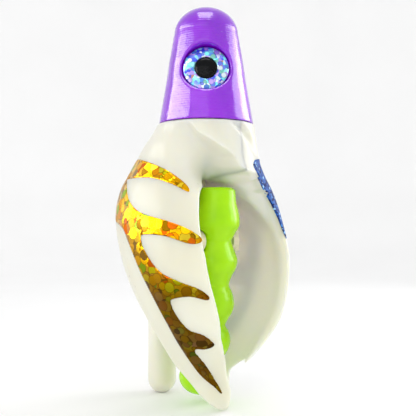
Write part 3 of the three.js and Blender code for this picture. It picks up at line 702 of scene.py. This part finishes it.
def ivory_paint():
    paint = Paint("ivory_pearl", 0.3)
    broad = paint.noise(0.035, 2.0, (1, 1, 0.5))
    outside = paint.ramp(broad, [
        (0.3, linear(222, 219, 201)), (0.5, linear(227, 225, 209)), (0.7, linear(232, 231, 219)),
    ])
    # Painted light: the wings' inner faces get their own lighter, cooler colour (250, 240, 240). It is set
    # to match how the shaded, translucent hollow looks, and is not a colour of the plastic.
    inside = paint.node("ShaderNodeAttribute", attribute_name="inside")
    paint.colour(paint.mix(inside.outputs["Fac"], outside, linear(250, 240, 240)))
    fine = paint.noise(2.2, 3.0)
    waves = paint.noise(0.12, 1.0)
    height = paint.math("ADD", paint.math("MULTIPLY", fine, 0.12), waves)
    paint.bump(height, 0.35, 0.25)
    paint.rough(paint.noise(0.5, 2.0), 0.24, 0.36)
    paint.set(Subsurface_Weight=0.6, Subsurface_Scale=0.009, Coat_Weight=0.05, Coat_Roughness=0.1)
    paint.set(Specular_IOR_Level=0.15)
    paint.shader.inputs["Subsurface Radius"].default_value = (1.0, 0.85, 0.55)
    return paint.material


def violet_paint():
    paint = Paint("violet_gloss", 0.14)
    broad = paint.noise(0.07, 2.0)
    paint.colour(paint.ramp(broad, [
        (0.3, linear(128, 8, 204)), (0.5, linear(138, 12, 214)), (0.72, linear(150, 22, 224)),
    ]))
    layers = paint.node("ShaderNodeTexWave", bands_direction="Z")
    layers.inputs["Scale"].default_value = 0.3
    layers.inputs["Distortion"].default_value = 0.4
    layers.inputs["Detail"].default_value = 1.0
    paint.link(paint.place.outputs[0], layers.inputs["Vector"])
    pit = paint.math("GREATER_THAN", paint.cells(2.2).outputs["Distance"], 0.16)
    height = paint.math("ADD", paint.math("MULTIPLY", layers.outputs["Fac"], 0.12),
                        paint.math("MULTIPLY", pit, 0.4))
    height = paint.math("ADD", height, paint.math("MULTIPLY", paint.noise(0.16, 1.0), 1.4))
    paint.bump(height, 0.9, 0.28)
    paint.set(Coat_Weight=0.5, Coat_Roughness=0.03, Subsurface_Weight=0.08, Subsurface_Scale=0.002)
    return paint.material


def lime_paint():
    paint = Paint("lime_gloss", 0.2)
    broad = paint.noise(0.08, 2.0)
    paint.colour(paint.ramp(broad, [
        (0.3, linear(158, 222, 0)), (0.5, linear(168, 230, 2)), (0.75, linear(180, 238, 12)),
    ]))
    paint.bump(paint.noise(0.35, 2.0), 0.35, 0.15)
    paint.rough(paint.noise(0.6, 2.0), 0.14, 0.26)
    paint.set(Subsurface_Weight=0.2, Subsurface_Scale=0.003, Coat_Weight=0.1, Coat_Roughness=0.08,
              Specular_IOR_Level=0.2)
    paint.shader.inputs["Subsurface Radius"].default_value = (0.7, 1.0, 0.1)
    return paint.material


def tilt_normal(paint, randoms, amount):
    """Leans the surface normal by a random vector, so each flake catches the light its own way."""
    away = paint.node("ShaderNodeVectorMath", operation="SUBTRACT")
    away.inputs[1].default_value = (0.5, 0.5, 0.5)
    paint.link(randoms, away.inputs[0])
    scaled = paint.node("ShaderNodeVectorMath", operation="SCALE")
    scaled.inputs["Scale"].default_value = amount
    paint.link(away.outputs[0], scaled.inputs[0])
    total = paint.node("ShaderNodeVectorMath", operation="ADD")
    paint.link(scaled.outputs[0], total.inputs[0])
    paint.link(paint.node("ShaderNodeNewGeometry").outputs["Normal"], total.inputs[1])
    unit = paint.node("ShaderNodeVectorMath", operation="NORMALIZE")
    paint.link(total.outputs[0], unit.inputs[0])
    paint.link(unit.outputs[0], paint.shader.inputs["Normal"])


def sequin_layers(paint, size, count, cover, base_share=0.8):
    """Overlapping round flakes: the topmost flake's random colour, and how near its rim the point is."""
    base = paint.cells(size * base_share, (31.0, 17.0, 5.0))
    chosen = base.outputs["Color"]
    rim = base.outputs["Distance"]
    for k in range(count):
        layer = paint.cells(size, (7.3 * k, 3.1 * k, 11.7 * k))
        disc = paint.math("LESS_THAN", layer.outputs["Distance"], cover)
        chosen = paint.mix(disc, chosen, layer.outputs["Color"])
        both = paint.node("ShaderNodeMix", data_type="FLOAT")
        paint.link(disc, both.inputs[MIX_FACTOR])
        paint.link(rim, both.inputs[MIX_FLOAT_A])
        paint.link(paint.math("DIVIDE", layer.outputs["Distance"], cover), both.inputs[MIX_FLOAT_B])
        rim = both.outputs[0]
    return chosen, rim


def gold_paint():
    paint = Paint("gold_sequin", 0.26, 1.0)
    chosen, rim = sequin_layers(paint, 5.4, 4, 0.46)
    split = paint.node("ShaderNodeSeparateColor")
    paint.link(chosen, split.inputs[0])
    tint = paint.ramp(split.outputs[0], [
        (0.0, linear(150, 104, 2)), (0.1, linear(206, 142, 6)), (0.26, linear(232, 166, 8)),
        (0.46, linear(246, 190, 16)), (0.62, linear(238, 176, 8)), (0.7, linear(236, 150, 8)),
        (0.79, linear(222, 206, 24)), (0.86, linear(156, 178, 22)), (0.91, linear(252, 214, 60)),
        (0.96, linear(232, 110, 16)),
    ], "CONSTANT")
    # Painted shade: below 80 mm the gold is multiplied down towards (0.19, 0.19, 0) at 50 mm, so the lower
    # part of the inlay is painted dark as if in shade. Above 80 mm the factor (0.86, 0.9, 0.6) only tints
    # it.
    height = paint.node("ShaderNodeSeparateXYZ")
    paint.link(paint.place.outputs[0], height.inputs[0])
    low = paint.node("ShaderNodeMapRange")
    low.inputs["From Min"].default_value = 50
    low.inputs["From Max"].default_value = 80
    paint.link(height.outputs["Z"], low.inputs["Value"])
    depth = paint.mix(low.outputs[0], (0.19, 0.19, 0.0, 1), (0.86, 0.9, 0.6, 1))
    tint = paint.blend("MULTIPLY", depth, tint)
    dark = paint.ramp(rim, [(0.0, (1, 1, 1, 1)), (0.86, (1, 1, 1, 1)), (1.0, (0.32, 0.26, 0.12, 1))])
    paint.colour(paint.blend("MULTIPLY", tint, dark))
    tilt_normal(paint, chosen, 0.42)
    paint.set(Coat_Weight=0.04, Coat_Roughness=0.06)
    return paint.material


def blue_paint():
    paint = Paint("blue_glitter", 0.5, 0.05)
    flakes = paint.cells(1.1)
    split = paint.node("ShaderNodeSeparateColor")
    paint.link(flakes.outputs["Color"], split.inputs[0])
    paint.colour(paint.ramp(split.outputs[0], [
        (0.0, linear(6, 34, 96)), (0.3, linear(16, 66, 146)), (0.6, linear(24, 86, 168)),
        (0.88, linear(60, 130, 205)), (0.96, linear(150, 195, 235)),
    ], "CONSTANT"))
    tilt_normal(paint, flakes.outputs["Color"], 0.35)
    paint.set(Specular_IOR_Level=0.12)
    return paint.material


def foil_paint():
    paint = Paint("eye_foil", 0.25, 0.55)
    chosen, rim = sequin_layers(paint, 3.4, 2, 0.36, 0.45)
    split = paint.node("ShaderNodeSeparateColor")
    paint.link(chosen, split.inputs[0])
    tint = paint.ramp(split.outputs[0], [
        (0.0, linear(60, 130, 215)), (0.14, linear(110, 225, 235)), (0.28, linear(96, 120, 230)),
        (0.4, linear(178, 150, 235)), (0.52, linear(222, 240, 250)), (0.66, linear(40, 70, 225)),
        (0.78, linear(120, 205, 190)), (0.86, linear(150, 235, 245)), (0.94, linear(190, 130, 110)),
    ], "CONSTANT")
    dark = paint.ramp(rim, [(0.0, (1, 1, 1, 1)), (0.8, (1, 1, 1, 1)), (1.0, (0.42, 0.3, 0.2, 1))])
    paint.colour(paint.blend("MULTIPLY", tint, dark))
    tilt_normal(paint, chosen, 0.5)
    paint.set(Coat_Weight=1.0, Coat_Roughness=0.05)
    return paint.material


def black_paint():
    paint = Paint("pupil_black", 0.05)
    paint.colour(paint.ramp(paint.noise(0.3, 2.0), [(0.3, linear(4, 5, 8)), (0.7, linear(11, 13, 17))]))
    paint.bump(paint.noise(0.5, 1.0), 0.2, 0.05)
    paint.set(Specular_IOR_Level=0.12)
    return paint.material


def frame_paint():
    paint = Paint("frame_plastic", 0.45)
    paint.colour(paint.ramp(paint.noise(0.2, 3.0), [
        (0.3, linear(222, 212, 178)), (0.6, linear(232, 224, 194)),
    ]))
    paint.bump(paint.noise(5.0, 2.0), 0.4, 0.06)
    paint.rough(paint.noise(1.0, 2.0), 0.38, 0.52)
    return paint.material


def steel_paint():
    paint = Paint("steel", 0.28, 1.0)
    streaks = paint.noise(2.5, 4.0, (0.3, 4, 4))
    paint.colour(paint.ramp(streaks, [(0.3, linear(168, 172, 176)), (0.7, linear(204, 207, 210))]))
    paint.bump(streaks, 0.25, 0.03)
    paint.rough(streaks, 0.2, 0.36)
    return paint.material


def card_paint():
    paint = Paint("card", 0.85)
    fibre = paint.noise(3.0, 4.0, (1, 4, 4))
    paint.colour(paint.ramp(fibre, [(0.3, linear(158, 120, 78)), (0.7, linear(190, 152, 106))]))
    paint.bump(fibre, 0.5, 0.1)
    return paint.material


def tape_paint():
    paint = Paint("tape_film", 0.18)
    hub = paint.node("ShaderNodeVectorMath", operation="SUBTRACT")
    hub.inputs[1].default_value = (0, AXIS_Y + HUB[0], HUB[1])
    paint.link(paint.place.outputs[0], hub.inputs[0])
    flat = paint.node("ShaderNodeVectorMath", operation="MULTIPLY")
    flat.inputs[1].default_value = (0, 1, 1)      # leaves the distance from the axle only
    paint.link(hub.outputs[0], flat.inputs[0])
    radius = paint.node("ShaderNodeVectorMath", operation="LENGTH")
    paint.link(flat.outputs[0], radius.inputs[0])
    rings = paint.math("FRACT", paint.math("MULTIPLY", radius.outputs["Value"], 2.6))
    paint.colour(paint.ramp(rings, [(0.0, linear(196, 178, 118)), (0.5, linear(222, 208, 154)),
                                    (1.0, linear(206, 190, 130))]))
    paint.bump(rings, 0.35, 0.08)
    paint.set(Coat_Weight=0.6, Coat_Roughness=0.08)
    return paint.material


def floor_paint():
    paint = Paint("studio_floor", 0.7)
    paint.colour(paint.ramp(paint.noise(0.01, 2.0), [
        (0.3, (0.95, 0.95, 0.95, 1)), (0.7, (0.97, 0.97, 0.97, 1)),
    ]))
    return paint.material


# ---- camera and light ----
def add_camera(scene):
    """The camera, 300 mm away, a little below the level of the point it aims at."""
    aim = Vector((0.0006, AXIS_Y * MM - 0.0006, 0.0889))
    azimuth, elevation = CAMERA_AZIMUTH, math.radians(-1.13)
    away = Vector((
        math.sin(azimuth) * math.cos(elevation),
        -math.cos(azimuth) * math.cos(elevation),
        math.sin(elevation),
    ))
    camera = bpy.data.objects.new("camera", bpy.data.cameras.new("camera"))
    camera.data.lens = 56.7
    camera.data.sensor_width = 36
    camera.location = aim + away * CAMERA_DISTANCE * MM
    camera.rotation_euler = (aim - camera.location).to_track_quat("-Z", "Y").to_euler()
    scene.collection.objects.link(camera)
    scene.camera = camera


def add_floor():
    """A round floor whose rim curves up into the backdrop."""
    sweep = [(0.0, 0.0), (700.0, 0.0), (850.0, 25.0), (980.0, 110.0), (1060.0, 260.0), (1100.0, 700.0)]
    sink = 0.05
    floor = lathe("studio_floor", [(r, z - sink) for r, z in sweep], 96)
    floor.data.materials.append(floor_paint())


def add_world(scene):
    world = bpy.data.worlds.new("studio")
    world.use_nodes = True
    background = world.node_tree.nodes["Background"]
    background.inputs["Color"].default_value = (1, 1, 1, 1)
    background.inputs["Strength"].default_value = 0.93
    scene.world = world


def softbox(scene, name, turn, height, distance, size, power, reflection_only=False):
    """A lamp aimed at the object: turn in degrees from the camera, other lengths in metres."""
    a = CAMERA_AZIMUTH + math.radians(turn)
    light = bpy.data.lights.new(name, "AREA")
    light.shape = "RECTANGLE"
    light.size, light.size_y = size
    light.energy = power
    lamp = bpy.data.objects.new(name, light)
    lamp.visible_diffuse = not reflection_only
    centre = Vector((0, AXIS_Y * MM, 0.1))
    lamp.location = centre + Vector((math.sin(a), -math.cos(a), 0)) * distance + Vector((0, 0, height))
    lamp.rotation_euler = (centre - lamp.location).to_track_quat("-Z", "Y").to_euler()
    scene.collection.objects.link(lamp)


def studio():
    scene = bpy.context.scene
    add_camera(scene)
    add_floor()
    add_world(scene)
    softbox(scene, "key_left", -60, 0.3, 0.6, (0.5, 0.34), 0.2)
    softbox(scene, "card_left", -77, 0.16, 0.5, (0.62, 0.34), 4.4, True)
    softbox(scene, "card_right", 102, 0.16, 0.5, (0.42, 0.34), 1.6, True)
    softbox(scene, "card_top", -10, 0.6, 0.12, (0.3, 0.3), 1.4, True)
    softbox(scene, "fill", -15, 0.25, 0.8, (0.6, 0.6), 0.8)
    softbox(scene, "rim_right", 118, 0.1, 0.5, (0.26, 0.34), 0.9)
    softbox(scene, "top", 10, 0.6, 0.15, (0.4, 0.4), 0.2)
    scene.view_settings.view_transform = "Standard"
    scene.view_settings.look = "None"


# ---- the object ----
def finish(obj, node, material, body):
    """Makes an object stand for a CAD node, in its material and on its body."""
    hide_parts(node)
    obj.data.materials.clear()
    obj.data.materials.append(material)
    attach(obj, body)


def build_shells(ivory):
    step = 0.7
    shells = implicit_mesh("shells", shells_field, (-41, -36, -1.5), (41, 42, 129), step)
    mark_inside_for_painted_light(shells)
    for side, node in ((-1, "left_body_shell"), (1, "right_body_shell")):
        half = split_at_seam(shells, side, node + "_visual")
        finish(half, node, ivory, "stand")
    bpy.data.objects.remove(shells)


def build_inlays(gold, blue):
    comb = comb_distance()
    for side, node, paint, slot, x_range in (
        (-1, "left_wing_inlay", gold, "gold_sequin", (-42, 3)),
        (1, "right_wing_inlay", blue, "blue_glitter", (-3, 42)),
    ):
        low, high = (x_range[0], -36, -1.5), (x_range[1], 42, 118)
        inlay = implicit_mesh(node + "_visual", inlay_field(side, comb), low, high, 0.4)
        finish(inlay, node, paint, "stand")


def build_head(violet):
    head = implicit_mesh("head_shell_visual", head_field, (-23, -23, 126), (23, 23, 182), 0.6, 3)
    finish(head, "head_shell", violet, "head")


def build_grip(lime):
    grip = implicit_mesh("finger_grip_visual", grip_field, (-13, -21, 2), (13, 16, 99.5), 0.5, 3)
    finish(grip, "finger_grip", lime, "grip")


def build_eyes(foil, black):
    """For each eye, a foil ring with a crowned face and a black dome in its middle."""
    seat = EYE_SEAT + GAP
    crown_in, crown_width, crown_height = 5.2, 4.7, 0.9
    dome_r, dome_height, dome_steps = 4.85, 1.2, 8
    for side, turn in EYES.items():
        place = eye_matrix(turn)
        ring = [(0, seat), (10, seat), (10, seat + 1)]
        for k in range(9):
            r = crown_in + crown_width * (1 - k / 8)
            ring.append((r, seat + 1.2 + crown_height * (1 - ((r - crown_in) / crown_width) ** 2)))
        ring += [(5.05, seat + 1.9), (5.05, seat + 0.6), (0, seat + 0.6)]
        disc = lathe(side + "_eye_disc_visual", ring, 96, place)
        finish(disc, side + "_eye_disc", foil, "head")
        dome = [(0, seat + 0.9), (4.8, seat + 0.9), (dome_r, seat + 1.8)]
        for k in range(1, dome_steps + 1):
            a = math.pi / 2 * k / dome_steps
            dome.append((dome_r * math.cos(a), seat + 1.8 + dome_height * math.sin(a)))
        pupil = lathe(side + "_eye_pupil_visual", dome, 72, place)
        finish(pupil, side + "_eye_pupil", black, "head")


def build_leg(ivory):
    chamfer = 0.4
    arc = [
        (LEG_R * math.sin(a), LEG_R * (math.cos(LEG_FLAT) - math.cos(a)))
        for a in np.linspace(LEG_FLAT, math.pi / 2, 20)
    ]
    top = [(LEG_R, LEG_TOP - chamfer), (LEG_R - chamfer, LEG_TOP), (0, LEG_TOP)]
    leg = lathe("tail_leg_visual", [(0, 0)] + arc + top, 96, Matrix.Translation((0, LEG_Y, 0)))
    finish(leg, "tail_leg", ivory, "stand")


def ring_profile(inner, outer):
    """Section of a ring as wide as the tape, with rounded corners."""
    w = TAPE_HALF
    loop = [(inner, 0), (inner, -w), (outer, -w), (outer, w), (inner, w), (inner, 0)]
    return rounded(loop, 0.25)


def build_roll(tape, card, frame_plastic):
    """The wound tape, its card core and the hub with a thin web between rim and bore."""
    along_x = Matrix.Translation((0, *HUB)) @ Matrix.Rotation(math.pi / 2, 4, "Y")
    roll = lathe("tape_roll_visual", ring_profile(14.65, 19), 128, along_x)
    finish(roll, "tape_roll", tape, "roll")
    core = lathe("tape_core_visual", ring_profile(12.95, 14.4), 96, along_x)
    finish(core, "tape_core", card, "roll")
    bore, boss, rim_in, rim_out, web = 3.05, 5, 11, 12.7, 2
    upper = [(rim_out, TAPE_HALF), (rim_in, TAPE_HALF), (rim_in, web), (boss, web), (boss, TAPE_HALF),
             (bore, TAPE_HALF), (bore, 0)]
    lower = [(r, -z) for r, z in reversed(upper)]
    hub = lathe("tape_hub_visual", rounded(lower + upper, 0.4), 96, along_x)
    finish(hub, "tape_hub", frame_plastic, "roll")


def build_fittings(lime, frame_plastic, steel, tape):
    """The pieces that keep their CAD shape, with bevelled edges."""
    for node, bevel, material, body, slot in (
        ("spine_frame", 0.35, frame_plastic, "stand", "frame_plastic"),
        ("cutter_arm", 0.4, lime, "cutter", "lime_plastic"),
        ("tape_shelf", 0.2, steel, "stand", "steel"),
        ("tape_leader", 0.08, tape, "stand", "tape_film"),
        ("head_bush", 0.3, frame_plastic, "head", "frame_plastic"),
    ):
        finish(dressed(node, bevel), node, material, body)
    bodies = frame["record"]["behaviour"]["bodies"]
    for row in frame["record"]["subparts"]:
        node = row["node"]
        if row["material_slot"] == "steel" and node != "tape_shelf":
            body = next(name for name, nodes in bodies.items() if node in nodes)
            finish(dressed(node, 0.12), node, steel, body)


def build():
    ivory, lime, steel = ivory_paint(), lime_paint(), steel_paint()
    frame_plastic, tape = frame_paint(), tape_paint()
    build_shells(ivory)
    build_inlays(gold_paint(), blue_paint())
    build_head(violet_paint())
    build_grip(lime)
    build_eyes(foil_paint(), black_paint())
    build_leg(ivory)
    build_roll(tape, card_paint(), frame_plastic)
    build_fittings(lime, frame_plastic, steel, tape)


studio()
build()
